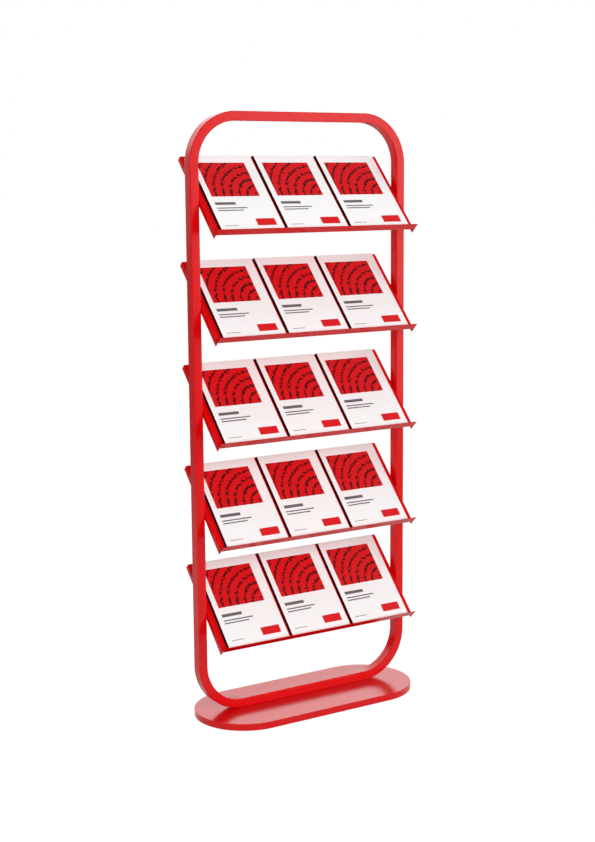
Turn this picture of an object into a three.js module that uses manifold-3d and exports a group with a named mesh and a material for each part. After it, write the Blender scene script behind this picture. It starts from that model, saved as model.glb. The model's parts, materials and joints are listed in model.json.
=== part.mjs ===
// Periodical display rack: a bent tube loop on a flat base, with five sloping trays of flat periodicals.
// Millimetres, +Z up, -Y to the front. The origin is on the floor, under the middle of the base.

import * as THREE from 'three';
import { mergeVertices } from 'three/addons/utils/BufferGeometryUtils.js';
import Module from 'manifold-3d';

const wasm = await Module();
wasm.setup();

// Loop of rectangular tube, made of two posts and two bows that meet end to end
const FRAME_WIDTH = 750;
const FRAME_HEIGHT = 1780;
const FRAME_SETBACK = 12; // from the middle of the base back to the middle of the tube
const TUBE_FACE = 28; // seen from the front
const TUBE_DEPTH = 34; // front to back
const TUBE_WALL = 2;
const TUBE_EDGE_RADIUS = 2.5;
const BEND_RADIUS = 150; // outside of the loop's corners
const BOW_LEG = 40; // straight end of a bow, past its bend
const BEND_STEPS = 12; // facets in each corner of the loop

// Base pan, open below, with its ribs, clamp plate and pads
const BASE_LENGTH = 742;
const BASE_DEPTH = 314;
const BASE_HEIGHT = 21;
const BASE_SKIN = 3;
const BASE_EDGE_RADIUS = 1.5;
const RIB_INSET = 116; // from the end of the base in to the middle of a rib
const RIB_WIDTH = 40;
const RIB_WALL = 2;
const RIB_RECESS = 1; // underside of a rib above the lower edge of the pan
const RIB_END_GAP = 1;
const PAD_RADIUS = 14;
const PAD_INSET = 26; // from the end of a rib to the middle of its pad
const PAD_EDGE = 1;
const FLOOR_GAP = 3; // lower edge of the pan above the floor
const PLATE_WIDTH = 40;
const PLATE_THICKNESS = 5;
const PLATE_MARGIN = 20; // clamp plate past its last bolt
const BOLT_COUNT = 4;
const BOLT_INSET = 70; // last bolt from the inner side of a rib
const BOLT_RADIUS = 4;
const BOLT_HEAD_RADIUS = 7;
const BOLT_HEAD_HEIGHT = 5;
const BOLT_HEAD_EDGE = 2.5; // chamfer round the head
const BOLT_GRIP = 8; // shank inside the tube

// Trays, each folded from one sheet
const TRAY_COUNT = 5;
const TRAY_TILT = THREE.MathUtils.degToRad(47); // panel above the horizontal
const TOP_TRAY_DROP = 246; // from the top of the loop down to the screws of the top tray
const BOTTOM_TRAY_RISE = 320; // from the top of the base up to the screws of the bottom tray
const PANEL_LENGTH = 304; // up the slope
const PANEL_FRONT = 148; // from the front fold up to the screws
const LIP_HEIGHT = 25;
const LIP_CORNER_RADIUS = 3;
const RETURN_DEPTH = 15; // the ends, bent back on to the posts
const TOP_RETURN_DEPTH = 12;
const SHEET = 1.5;
const FOLD_RADIUS = 1; // inside of a fold
const SCREW_PITCH = 24;
const SCREW_RADIUS = 2.5;
const SCREW_HEAD_RADIUS = 4.5;
const SCREW_HEAD_HEIGHT = 3;
const SCREW_HEAD_EDGE = 1.5;
const SCREW_GRIP = 6; // shank inside the post

// Periodicals
const PERIODICAL_WIDTH = 212;
const PERIODICAL_HEIGHT = 297;
const PERIODICAL_THICKNESS = 7;
const PERIODICAL_SPACING = 9;
const COVER_THICKNESS = 0.6;
const COVER_OVERHANG = 1; // covers past the pages at the open edge
const SPINE_RADIUS = 1.5;

// Clearances
const SEAT_GAP = 0.3; // between pieces that bear on each other
const HOLE_GAP = 0.3; // round a shank
const DRILL_PAST = 1; // drilled holes run this far past both faces of a wall
const SHANK_TIP = 0.6; // chamfer at the end of a shank

// Facets of small round forms
const EDGE_FACETS = 2;
const HOLE_FACETS = 12;
const BASE_END_FACETS = 16;
const PLATE_END_FACETS = 8;
const MERGE_DISTANCE = 1e-4; // points of a mesh closer than this are one

// Places that follow from the sizes
const BASE_TOP = FLOOR_GAP + BASE_HEIGHT;
const FRAME_TOP = BASE_TOP + FRAME_HEIGHT;
const POST_X = (FRAME_WIDTH - TUBE_FACE) / 2;
const POST_BOTTOM = BASE_TOP + BEND_RADIUS + BOW_LEG;
const POST_TOP = FRAME_TOP - BEND_RADIUS - BOW_LEG;
const RAIL_HALF = FRAME_WIDTH / 2 - BEND_RADIUS; // half the straight run of the bottom rail
const SKIN_UNDERSIDE = BASE_TOP - BASE_SKIN;
const RIB_X = BASE_LENGTH / 2 - RIB_INSET;
const RIB_BOTTOM = FLOOR_GAP + RIB_RECESS;
const BOLT_REACH = RIB_X - RIB_WIDTH / 2 - BOLT_INSET; // from the middle out to the last bolt
const TRAY_WIDTH = FRAME_WIDTH - 2 * TUBE_FACE - 2 * SEAT_GAP;
const TRAY_PITCH = (FRAME_HEIGHT - TOP_TRAY_DROP - BOTTOM_TRAY_RISE) / (TRAY_COUNT - 1);
const FOLD = SHEET + FOLD_RADIUS; // outside radius of a fold
const SCREW_DROP = (RETURN_DEPTH + FOLD) / 2; // from the panel's face to the middle of the flat return
const PERIODICAL_PITCH = PERIODICAL_WIDTH + PERIODICAL_SPACING;
const PERIODICALS_ACROSS = Math.floor((TRAY_WIDTH + PERIODICAL_SPACING) / PERIODICAL_PITCH);

// Extrusions start along +Z. Each basis turns one to lie along the named axis. Across Y an outline keeps
// X to the right and its own Y upward, so there an extrusion runs from the back to the front.
const ALONG = {
  x: new THREE.Matrix4().makeBasis(
    new THREE.Vector3(0, 1, 0),
    new THREE.Vector3(0, 0, 1),
    new THREE.Vector3(1, 0, 0),
  ),
  y: new THREE.Matrix4().makeBasis(
    new THREE.Vector3(1, 0, 0),
    new THREE.Vector3(0, 0, 1),
    new THREE.Vector3(0, -1, 0),
  ),
  z: new THREE.Matrix4(),
};

// Solids: closed meshes that can be joined and cut

function solidFrom(geometry) {
  const bare = geometry.index ? geometry.toNonIndexed() : geometry.clone();
  bare.deleteAttribute('normal');
  bare.deleteAttribute('uv');
  const merged = mergeVertices(bare, MERGE_DISTANCE);
  const vertProperties = merged.attributes.position.array;
  const triVerts = Uint32Array.from(merged.index.array);
  return new wasm.Manifold(new wasm.Mesh({ numProp: 3, vertProperties, triVerts }));
}

function geometryFrom(solid) {
  const { vertProperties, triVerts } = solid.getMesh();
  const geometry = new THREE.BufferGeometry();
  geometry.setAttribute('position', new THREE.BufferAttribute(vertProperties, 3));
  geometry.setIndex(new THREE.BufferAttribute(triVerts, 1));
  const faceted = geometry.toNonIndexed();
  faceted.computeVertexNormals();
  return faceted;
}

// Outlines

function roundedRectangle(outline, width, height, radius) {
  const x = width / 2;
  const y = height / 2;
  outline.moveTo(x, radius - y);
  outline.absarc(x - radius, y - radius, radius, 0, Math.PI / 2);
  outline.absarc(radius - x, y - radius, radius, Math.PI / 2, Math.PI);
  outline.absarc(radius - x, radius - y, radius, Math.PI, 1.5 * Math.PI);
  outline.absarc(x - radius, radius - y, radius, 1.5 * Math.PI, 2 * Math.PI);
  return outline;
}

function tubeSection(width, height) {
  const bore = 2 * TUBE_WALL;
  const section = roundedRectangle(new THREE.Shape(), width, height, TUBE_EDGE_RADIUS);
  const hollow = new THREE.Path();
  roundedRectangle(hollow, width - bore, height - bore, TUBE_EDGE_RADIUS - TUBE_WALL);
  section.holes.push(hollow);
  return section;
}

function stadium(length, depth) {
  const radius = depth / 2;
  const centre = length / 2 - radius;
  const outline = new THREE.Shape();
  outline.moveTo(-centre, -radius);
  outline.lineTo(centre, -radius);
  outline.absarc(centre, 0, radius, -Math.PI / 2, Math.PI / 2);
  outline.lineTo(-centre, radius);
  outline.absarc(-centre, 0, radius, Math.PI / 2, 1.5 * Math.PI);
  return outline;
}

// Basic forms

function extrude(outline, axis, start, end, curveSegments = EDGE_FACETS) {
  const settings = { depth: end - start, bevelEnabled: false, curveSegments };
  const geometry = new THREE.ExtrudeGeometry(outline, settings);
  return geometry.translate(0, 0, axis === 'y' ? -end : start).applyMatrix4(ALONG[axis]);
}

// A turned form on the Z axis, from [radius, height] steps that start and end on the axis.
function turn(steps) {
  const profile = steps.map(([radius, height]) => new THREE.Vector2(radius, height));
  return new THREE.LatheGeometry(profile, HOLE_FACETS).rotateX(Math.PI / 2);
}

// The space for a shank: a cylinder along an axis, through a wall with its middle at the centre.
function drill(axis, centre, shankRadius, wall) {
  const radius = shankRadius + HOLE_GAP;
  const cylinder = new THREE.CylinderGeometry(radius, radius, wall + 2 * DRILL_PAST, HOLE_FACETS);
  cylinder.rotateX(Math.PI / 2).applyMatrix4(ALONG[axis]);
  return solidFrom(cylinder.translate(centre.x, centre.y, centre.z));
}

// A button-headed fastener on the Z axis, head up, with its seat at height zero.
function fastener(head, shank) {
  return turn([
    [0, -shank.length],
    [shank.radius - SHANK_TIP, -shank.length],
    [shank.radius, SHANK_TIP - shank.length],
    [shank.radius, 0],
    [head.radius, 0],
    [head.radius, head.height - head.edge],
    [head.radius - head.edge, head.height],
    [0, head.height],
  ]);
}

// Frame

// Middle line of a bow: a leg, a bend, the straight rail, a bend and a leg, rising from both legs.
// Its parameter gives one step to each straight run and BEND_STEPS to each bend.
class BowPath extends THREE.Curve {
  constructor() {
    super();
    this.radius = BEND_RADIUS - TUBE_FACE / 2;
    this.steps = 2 * BEND_STEPS + 3;
  }

  // The first half of the bow; the second half mirrors it.
  half(step) {
    const bend = THREE.MathUtils.clamp((step - 1) / BEND_STEPS, 0, 1) * (Math.PI / 2);
    const leg = Math.max(0, 1 - step) * BOW_LEG;
    const rail = Math.max(0, step - 1 - BEND_STEPS) * 2 * RAIL_HALF;
    const x = -RAIL_HALF - this.radius * Math.cos(bend) + rail;
    const z = this.radius * Math.sin(bend) - leg;
    return { x, z, bend };
  }

  station(t) {
    const step = t * this.steps;
    if (step <= this.steps / 2) return this.half(step);
    const { x, z, bend } = this.half(this.steps - step);
    return { x: -x, z, bend: Math.PI - bend };
  }

  getPoint(t, target = new THREE.Vector3()) {
    const { x, z } = this.station(t);
    return target.set(x, 0, z);
  }

  getTangent(t, target = new THREE.Vector3()) {
    const { bend } = this.station(t);
    return target.set(Math.sin(bend), 0, Math.cos(bend));
  }

  getPointAt(t, target) {
    return this.getPoint(t, target);
  }

  getTangentAt(t, target) {
    return this.getTangent(t, target);
  }
}

// A bow with its legs down and the bends' centres at height zero.
function bowGeometry() {
  const path = new BowPath();
  const settings = { extrudePath: path, steps: path.steps, curveSegments: EDGE_FACETS };
  return new THREE.ExtrudeGeometry(tubeSection(TUBE_DEPTH, TUBE_FACE), settings);
}

function topBow() {
  return bowGeometry().translate(0, FRAME_SETBACK, FRAME_TOP - BEND_RADIUS);
}

function boltPlaces() {
  const pitch = (2 * BOLT_REACH) / (BOLT_COUNT - 1);
  return Array.from({ length: BOLT_COUNT }, (_, i) => i * pitch - BOLT_REACH);
}

function bottomBow() {
  const bow = bowGeometry().rotateY(Math.PI).translate(0, FRAME_SETBACK, BASE_TOP + BEND_RADIUS);
  let solid = solidFrom(bow);
  for (const x of boltPlaces()) {
    const centre = new THREE.Vector3(x, FRAME_SETBACK, BASE_TOP + TUBE_WALL / 2);
    solid = solid.subtract(drill('z', centre, BOLT_RADIUS, TUBE_WALL));
  }
  return geometryFrom(solid);
}

function trayHeight(index) {
  return FRAME_TOP - TOP_TRAY_DROP - index * TRAY_PITCH;
}

// A post, drilled on its inner wall for the screws of every tray. Side is -1 for left and 1 for right.
function post(side) {
  const section = tubeSection(TUBE_FACE, TUBE_DEPTH);
  const tube = extrude(section, 'z', POST_BOTTOM, POST_TOP);
  let solid = solidFrom(tube.translate(side * POST_X, FRAME_SETBACK, 0));
  const wallX = side * (POST_X - (TUBE_FACE - TUBE_WALL) / 2);
  for (let tray = 0; tray < TRAY_COUNT; tray += 1) {
    for (const end of [-1, 1]) {
      const along = (end * SCREW_PITCH) / 2;
      const y = FRAME_SETBACK + along * Math.cos(TRAY_TILT);
      const z = trayHeight(tray) + along * Math.sin(TRAY_TILT);
      const centre = new THREE.Vector3(wallX, y, z);
      solid = solid.subtract(drill('x', centre, SCREW_RADIUS, TUBE_WALL));
    }
  }
  return geometryFrom(solid);
}

// Base

function basePan() {
  const outline = stadium(BASE_LENGTH, BASE_DEPTH);
  const block = new THREE.ExtrudeGeometry(outline, {
    depth: BASE_HEIGHT - 2 * BASE_EDGE_RADIUS,
    bevelThickness: BASE_EDGE_RADIUS,
    bevelSize: BASE_EDGE_RADIUS,
    bevelOffset: -BASE_EDGE_RADIUS,
    bevelSegments: EDGE_FACETS,
    curveSegments: BASE_END_FACETS,
  });
  const inside = stadium(BASE_LENGTH - 2 * BASE_SKIN, BASE_DEPTH - 2 * BASE_SKIN);
  const hollow = extrude(inside, 'z', 0, SKIN_UNDERSIDE, BASE_END_FACETS);
  let solid = solidFrom(block.translate(0, 0, FLOOR_GAP + BASE_EDGE_RADIUS)).subtract(solidFrom(hollow));
  for (const x of boltPlaces()) {
    const centre = new THREE.Vector3(x, FRAME_SETBACK, SKIN_UNDERSIDE + BASE_SKIN / 2);
    solid = solid.subtract(drill('z', centre, BOLT_RADIUS, BASE_SKIN));
  }
  return geometryFrom(solid);
}

function clampPlate() {
  const outline = stadium(2 * (BOLT_REACH + PLATE_MARGIN), PLATE_WIDTH);
  const bar = extrude(outline, 'z', SKIN_UNDERSIDE - PLATE_THICKNESS, SKIN_UNDERSIDE, PLATE_END_FACETS);
  let solid = solidFrom(bar.translate(0, FRAME_SETBACK, 0));
  for (const x of boltPlaces()) {
    const centre = new THREE.Vector3(x, FRAME_SETBACK, SKIN_UNDERSIDE - PLATE_THICKNESS / 2);
    solid = solid.subtract(drill('z', centre, BOLT_RADIUS, PLATE_THICKNESS));
  }
  return geometryFrom(solid);
}

// Half the length of a rib that fits across the hollow of the pan.
function ribHalf() {
  const inside = BASE_DEPTH / 2 - BASE_SKIN;
  const intoEnd = RIB_X + RIB_WIDTH / 2 - (BASE_LENGTH - BASE_DEPTH) / 2;
  return Math.sqrt(inside ** 2 - Math.max(0, intoEnd) ** 2) - RIB_END_GAP;
}

// A channel with its legs up against the skin, across the pan.
function rib() {
  const x = RIB_WIDTH / 2;
  const outline = new THREE.Shape();
  outline.moveTo(-x, RIB_BOTTOM);
  outline.lineTo(x, RIB_BOTTOM);
  outline.lineTo(x, SKIN_UNDERSIDE);
  outline.lineTo(x - RIB_WALL, SKIN_UNDERSIDE);
  outline.lineTo(x - RIB_WALL, RIB_BOTTOM + RIB_WALL);
  outline.lineTo(RIB_WALL - x, RIB_BOTTOM + RIB_WALL);
  outline.lineTo(RIB_WALL - x, SKIN_UNDERSIDE);
  outline.lineTo(-x, SKIN_UNDERSIDE);
  return extrude(outline, 'y', -ribHalf(), ribHalf());
}

function pad() {
  return turn([
    [0, 0],
    [PAD_RADIUS - PAD_EDGE, 0],
    [PAD_RADIUS, PAD_EDGE],
    [PAD_RADIUS, RIB_BOTTOM],
    [0, RIB_BOTTOM],
  ]);
}

// Trays. In a tray's own frame Y runs up the slope from the front fold, and the panel's face is at Z zero.

// The sheet seen from its end: lip, front fold, panel, top fold and top return.
function sheetProfile() {
  const lipTop = LIP_HEIGHT - SHEET;
  const topFold = PANEL_LENGTH - FOLD;
  const outline = new THREE.Shape();
  outline.moveTo(0, lipTop);
  outline.lineTo(0, FOLD_RADIUS);
  outline.absarc(FOLD, FOLD_RADIUS, FOLD, Math.PI, 1.5 * Math.PI);
  outline.lineTo(topFold, -SHEET);
  outline.absarc(topFold, -FOLD, FOLD_RADIUS, Math.PI / 2, 0, true);
  outline.lineTo(PANEL_LENGTH - SHEET, -TOP_RETURN_DEPTH);
  outline.lineTo(PANEL_LENGTH, -TOP_RETURN_DEPTH);
  outline.lineTo(PANEL_LENGTH, -FOLD);
  outline.absarc(topFold, -FOLD, FOLD, 0, Math.PI / 2);
  outline.lineTo(FOLD, 0);
  outline.absarc(FOLD, FOLD_RADIUS, FOLD_RADIUS, 1.5 * Math.PI, Math.PI, true);
  outline.lineTo(SHEET, lipTop);
  return outline;
}

// The right end of the panel, seen up the slope: a strip of panel, the fold and the return on the post.
function returnProfile() {
  const edge = TRAY_WIDTH / 2;
  const bendX = edge - FOLD;
  const outline = new THREE.Shape();
  outline.moveTo(bendX - FOLD, 0);
  outline.lineTo(bendX - FOLD, -SHEET);
  outline.lineTo(bendX, -SHEET);
  outline.absarc(bendX, -FOLD, FOLD_RADIUS, Math.PI / 2, 0, true);
  outline.lineTo(edge - SHEET, -RETURN_DEPTH);
  outline.lineTo(edge, -RETURN_DEPTH);
  outline.lineTo(edge, -FOLD);
  outline.absarc(bendX, -FOLD, FOLD, 0, Math.PI / 2);
  return outline;
}

// The lip at its full width, with its upper corners rounded and a tab at each end that closes the corner
// between the front fold and the return.
function lipProfile() {
  const x = TRAY_WIDTH / 2;
  const top = LIP_HEIGHT - SHEET;
  const corner = LIP_CORNER_RADIUS;
  const tab = x - 2 * FOLD;
  const outline = new THREE.Shape();
  outline.moveTo(-x, -SHEET);
  outline.lineTo(-tab, -SHEET);
  outline.lineTo(-tab, FOLD_RADIUS);
  outline.lineTo(tab, FOLD_RADIUS);
  outline.lineTo(tab, -SHEET);
  outline.lineTo(x, -SHEET);
  outline.lineTo(x, top - corner);
  outline.absarc(x - corner, top - corner, corner, 0, Math.PI / 2);
  outline.absarc(corner - x, top - corner, corner, Math.PI / 2, Math.PI);
  return outline;
}

function screwPlaces() {
  return [-1, 1].map((end) => PANEL_FRONT + (end * SCREW_PITCH) / 2);
}

function tray() {
  const halfPanel = TRAY_WIDTH / 2 - FOLD;
  const panel = solidFrom(extrude(sheetProfile(), 'x', -halfPanel, halfPanel));
  const lip = solidFrom(extrude(lipProfile(), 'y', 0, SHEET));
  let solid = panel.add(lip);
  const rightEnd = solidFrom(extrude(returnProfile(), 'y', 0, PANEL_LENGTH - FOLD));
  solid = solid.add(rightEnd).add(rightEnd.mirror([1, 0, 0]));
  for (const side of [-1, 1]) {
    for (const y of screwPlaces()) {
      const centre = new THREE.Vector3((side * (TRAY_WIDTH - SHEET)) / 2, y, -SCREW_DROP);
      solid = solid.subtract(drill('x', centre, SCREW_RADIUS, SHEET));
    }
  }
  return geometryFrom(solid);
}

// A screw with its head on the inside of an end return and its shank in the post.
function trayScrew() {
  const head = { radius: SCREW_HEAD_RADIUS, height: SCREW_HEAD_HEIGHT, edge: SCREW_HEAD_EDGE };
  const shank = { radius: SCREW_RADIUS, length: 2 * SEAT_GAP + SHEET + TUBE_WALL + SCREW_GRIP };
  return fastener(head, shank);
}

function baseBolt() {
  const head = { radius: BOLT_HEAD_RADIUS, height: BOLT_HEAD_HEIGHT, edge: BOLT_HEAD_EDGE };
  const shank = { radius: BOLT_RADIUS, length: PLATE_THICKNESS + BASE_SKIN + TUBE_WALL + BOLT_GRIP };
  return fastener(head, shank);
}

// A periodical lying face up: spine on the left with round edges, pages set in from the covers on the right.
function periodical() {
  const top = PERIODICAL_THICKNESS;
  const pages = PERIODICAL_WIDTH - COVER_OVERHANG;
  const outline = new THREE.Shape();
  outline.moveTo(SPINE_RADIUS, 0);
  outline.lineTo(PERIODICAL_WIDTH, 0);
  outline.lineTo(PERIODICAL_WIDTH, COVER_THICKNESS);
  outline.lineTo(pages, COVER_THICKNESS);
  outline.lineTo(pages, top - COVER_THICKNESS);
  outline.lineTo(PERIODICAL_WIDTH, top - COVER_THICKNESS);
  outline.lineTo(PERIODICAL_WIDTH, top);
  outline.lineTo(SPINE_RADIUS, top);
  outline.absarc(SPINE_RADIUS, top - SPINE_RADIUS, SPINE_RADIUS, Math.PI / 2, Math.PI);
  outline.absarc(SPINE_RADIUS, SPINE_RADIUS, SPINE_RADIUS, Math.PI, 1.5 * Math.PI);
  return extrude(outline, 'y', 0, PERIODICAL_HEIGHT).translate(-PERIODICAL_WIDTH / 2, 0, 0);
}

// Materials

function redCoat() {
  return new THREE.MeshStandardMaterial({ color: 0xc8141b, roughness: 0.28, metalness: 0 });
}

function zincSteel() {
  return new THREE.MeshStandardMaterial({ color: 0xb9bcc0, roughness: 0.4, metalness: 1 });
}

function blackRubber() {
  return new THREE.MeshStandardMaterial({ color: 0x1a1a1b, roughness: 0.9, metalness: 0 });
}

function whitePaper() {
  return new THREE.MeshStandardMaterial({ color: 0xf1efee, roughness: 0.45, metalness: 0 });
}

// Assembly

const rack = new THREE.Group();

function place(parent, name, geometry, material) {
  const mesh = new THREE.Mesh(geometry, material);
  mesh.name = name;
  parent.add(mesh);
  return mesh;
}

const SIDES = { left: -1, right: 1 };

place(rack, 'top_bow', topBow(), redCoat());
place(rack, 'bottom_bow', bottomBow(), redCoat());
place(rack, 'base_pan', basePan(), redCoat());
place(rack, 'clamp_plate', clampPlate(), zincSteel());

for (const [side, sign] of Object.entries(SIDES)) {
  place(rack, `${side}_post`, post(sign), redCoat());
  place(rack, `base_rib_${side}`, rib(), redCoat()).position.x = sign * RIB_X;
  for (const [end, toBack] of Object.entries({ front: -1, back: 1 })) {
    const foot = place(rack, `pad_${end}_${side}`, pad(), blackRubber());
    foot.position.set(sign * RIB_X, toBack * (ribHalf() - PAD_INSET), 0);
  }
}

boltPlaces().forEach((x, i) => {
  const bolt = place(rack, `base_bolt_${i + 1}`, baseBolt(), zincSteel());
  bolt.position.set(x, FRAME_SETBACK, SKIN_UNDERSIDE - PLATE_THICKNESS);
  bolt.rotation.x = Math.PI;
});

for (let i = 0; i < TRAY_COUNT; i += 1) {
  const slope = new THREE.Group();
  slope.position.set(0, FRAME_SETBACK, trayHeight(i));
  slope.rotation.x = TRAY_TILT;
  const sheet = new THREE.Group();
  sheet.position.set(0, -PANEL_FRONT, SCREW_DROP);
  slope.add(sheet);
  rack.add(slope);

  place(sheet, `tray_${i + 1}`, tray(), redCoat());

  const headSeat = TRAY_WIDTH / 2 - SHEET - SEAT_GAP;
  for (const [side, sign] of Object.entries(SIDES)) {
    screwPlaces().forEach((y, k) => {
      const end = k === 0 ? 'front' : 'back';
      const screw = place(sheet, `tray_${i + 1}_screw_${side}_${end}`, trayScrew(), zincSteel());
      screw.position.set(sign * headSeat, y, -SCREW_DROP);
      screw.rotation.y = (-sign * Math.PI) / 2;
    });
  }

  for (let k = 0; k < PERIODICALS_ACROSS; k += 1) {
    const book = place(sheet, `periodical_${i + 1}_${k + 1}`, periodical(), whitePaper());
    const x = (k - (PERIODICALS_ACROSS - 1) / 2) * PERIODICAL_PITCH;
    book.position.set(x, FOLD + SEAT_GAP, SEAT_GAP);
  }
}

export default rack;
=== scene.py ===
"""Surfaces of a periodical display rack: a coated tube loop on a flat base, with five sloping trays."""

import json
import math

import bmesh
import bpy
from bpy.props import FloatProperty, FloatVectorProperty, IntProperty, PointerProperty
from mathutils import Matrix, Vector


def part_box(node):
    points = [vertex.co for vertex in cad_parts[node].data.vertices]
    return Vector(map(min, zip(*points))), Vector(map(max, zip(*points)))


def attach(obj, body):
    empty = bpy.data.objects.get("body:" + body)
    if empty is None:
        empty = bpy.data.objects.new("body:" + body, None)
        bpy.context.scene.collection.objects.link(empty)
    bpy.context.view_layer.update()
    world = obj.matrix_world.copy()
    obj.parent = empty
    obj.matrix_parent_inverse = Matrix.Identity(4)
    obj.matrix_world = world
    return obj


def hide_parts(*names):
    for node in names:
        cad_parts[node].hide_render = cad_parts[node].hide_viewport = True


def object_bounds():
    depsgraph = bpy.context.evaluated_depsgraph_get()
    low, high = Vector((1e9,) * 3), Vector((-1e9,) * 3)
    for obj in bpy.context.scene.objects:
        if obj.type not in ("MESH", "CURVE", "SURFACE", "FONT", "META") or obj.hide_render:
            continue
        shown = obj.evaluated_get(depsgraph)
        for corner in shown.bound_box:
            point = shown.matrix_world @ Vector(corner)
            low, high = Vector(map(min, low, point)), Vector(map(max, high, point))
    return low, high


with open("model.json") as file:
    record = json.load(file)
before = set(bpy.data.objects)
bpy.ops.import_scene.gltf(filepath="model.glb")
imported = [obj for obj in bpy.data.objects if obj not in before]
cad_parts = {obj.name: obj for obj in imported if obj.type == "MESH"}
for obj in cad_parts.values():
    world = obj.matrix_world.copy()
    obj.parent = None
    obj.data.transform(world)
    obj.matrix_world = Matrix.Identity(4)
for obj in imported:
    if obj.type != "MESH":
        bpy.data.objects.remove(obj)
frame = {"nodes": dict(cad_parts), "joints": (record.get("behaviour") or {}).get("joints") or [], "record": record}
cad_low, cad_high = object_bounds()

bl_info = {
    "name": "Periodical display rack",
    "version": (1, 0, 0),
    "blender": (4, 5, 0),
    "location": "3D View > Sidebar > Rack",
    "description": "Builds the surfaces of a coated steel rack with sloping trays of periodicals",
    "category": "Add Mesh",
}

MM = 0.001
NEAR = 0.02 * MM  # points closer than this are at the same place
SMOOTH_ANGLE = math.radians(40)  # faces that meet at less than this are shaded as one
CRISP_ANGLE = math.radians(30)  # the same on the small fasteners
SHARP_ANGLE = math.radians(50)  # edges that turn more than this are sharp
FACING = 0.9  # a face looks along an axis if more than this of its normal lies along it
GRAIN_DEPTH = 0.1 * MM  # height of the bumps in a finish
SENSOR = 36  # width of the camera's sensor in millimetres
RACK = "rack"  # the body that all pieces but the periodicals ride on
MIDDLE = (cad_low + cad_high) / 2

# The trays lie on one slope. In slope coordinates X runs across the rack, Y up the slope and Z out of it.
SLOPE = math.atan2(frame["joints"][0]["axis"][2], frame["joints"][0]["axis"][1])
FROM_SLOPE = Matrix.Rotation(SLOPE, 4, "X")
TO_SLOPE = FROM_SLOPE.inverted()

# The print of a cover. A box is its left, bottom, right and top in millimetres from the lower left corner.
PICTURE = (20, 136, 180, 268)
HEADING = (20, 104, 88, 114)
FIRST_LINE = (20, 90, 120, 94)
SECOND_LINE = (20, 81, 104, 85)
FOOT_LINE = (20, 24, 64, 26)
BLOCK = (128, 24, 192, 50)

# The arcs in the picture, also in millimetres.
ARC_WIDTH = 13  # from the middle of a light arc to the middle of a dark one
DARK_START = 8.5  # from the middle of a light arc to where the dark ink starts
DARK_FULL = 12  # from the middle of a light arc to where the dark ink is full
STIPPLE_REACH = 6  # how far the stipple shifts the edge of an arc
STIPPLE_SCALE = 0.11  # features of the stipple in one millimetre

# The lamps, in metres: place, point that it faces, width and height, and the rays that don't see it.
LAMPS = {
    "key": ((-0.7, -4.3, 1.8), MIDDLE, (2.4, 2.4), ("camera", "glossy")),
    "fill": ((3.1, -3.4, 1.5), MIDDLE, (2.7, 2.7), ("camera",)),
    "side": ((-4.8, 0.3, 1.1), MIDDLE, (2.0, 2.0), ("camera", "glossy")),
    "top": ((0, -0.4, 4.2), (0, 0, 1.6), (1.2, 1.2), ("camera", "glossy")),
    "back": ((1.1, 3.7, 2.7), (1.1, 0, 2.7), (6.4, 2.8), ("camera", "diffuse")),
    "rear": ((0.3, 4.2, 0.7), MIDDLE, (3.0, 2.2), ("camera", "glossy")),
}

# Where the world changes, as parts of a direction of length one.
CEILING = (0.4, 0.75)  # upward part at which the ceiling starts and is full
SCREEN = (-0.56, -0.3)  # sideways part at which the screen on the left is full and ends


def named(start, word=""):
    """The CAD nodes whose names start this way and hold the word, in order."""
    return sorted(name for name in frame["nodes"] if name.startswith(start) and word in name)


SCREWS = named("tray_", "_screw_")
TRAYS = [name for name in named("tray_") if name not in SCREWS]
BOLTS = named("base_bolt_")
PADS = named("pad_")
RIBS = named("base_rib_")
PERIODICALS = named("periodical_")


def body_of(node):
    """The CAD body that carries a node."""
    return next(body for body, nodes in frame["record"]["behaviour"]["bodies"].items() if node in nodes)


def slope_box(node):
    """Lowest and highest corner of a CAD node in slope coordinates."""
    points = [TO_SLOPE @ v.co for v in frame["nodes"][node].data.vertices]
    low = Vector(min(p[i] for p in points) for i in range(3))
    high = Vector(max(p[i] for p in points) for i in range(3))
    return low, high


def linear(code):
    """An sRGB hex colour as linear red, green, blue and alpha."""
    parts = [int(code[i:i + 2], 16) / 255 for i in (1, 3, 5)]
    return [c / 12.92 if c <= 0.04045 else ((c + 0.055) / 1.055) ** 2.4 for c in parts] + [1.0]


# Settings

def length(name, description, millimetres):
    """A setting for a size."""
    return FloatProperty(name=name, description=description, default=millimetres * MM, unit="LENGTH")


def count(name, description, number):
    """A setting for a number of points, faces or sections."""
    return IntProperty(name=name, description=description, default=number, min=1)


def share(name, description, value):
    """A setting for a part of a whole."""
    return FloatProperty(
        name=name, description=description, default=value, min=0, max=1, subtype="FACTOR"
    )


def power(name, description, watts):
    """A setting for the power of a lamp."""
    return FloatProperty(name=name, description=description, default=watts, min=0, unit="POWER")


def colour(name, description, code):
    """A setting for a colour."""
    return FloatVectorProperty(
        name=name, description=description, default=linear(code), size=4, subtype="COLOR", min=0, max=1
    )


class TubeSettings(bpy.types.PropertyGroup):
    """Sizes of the tube loop"""

    wall: length("Wall", "Thickness of the tube's wall", 2)
    edge: length("Edge radius", "Radius along the four edges of the tube", 2.5)
    bend: length("Bend radius", "Outside radius of the loop's corners", 150)
    edge_steps: count("Edge steps", "Faces round each edge of the tube", 4)
    bend_steps: count("Bend steps", "Sections in each bend", 36)


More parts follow.
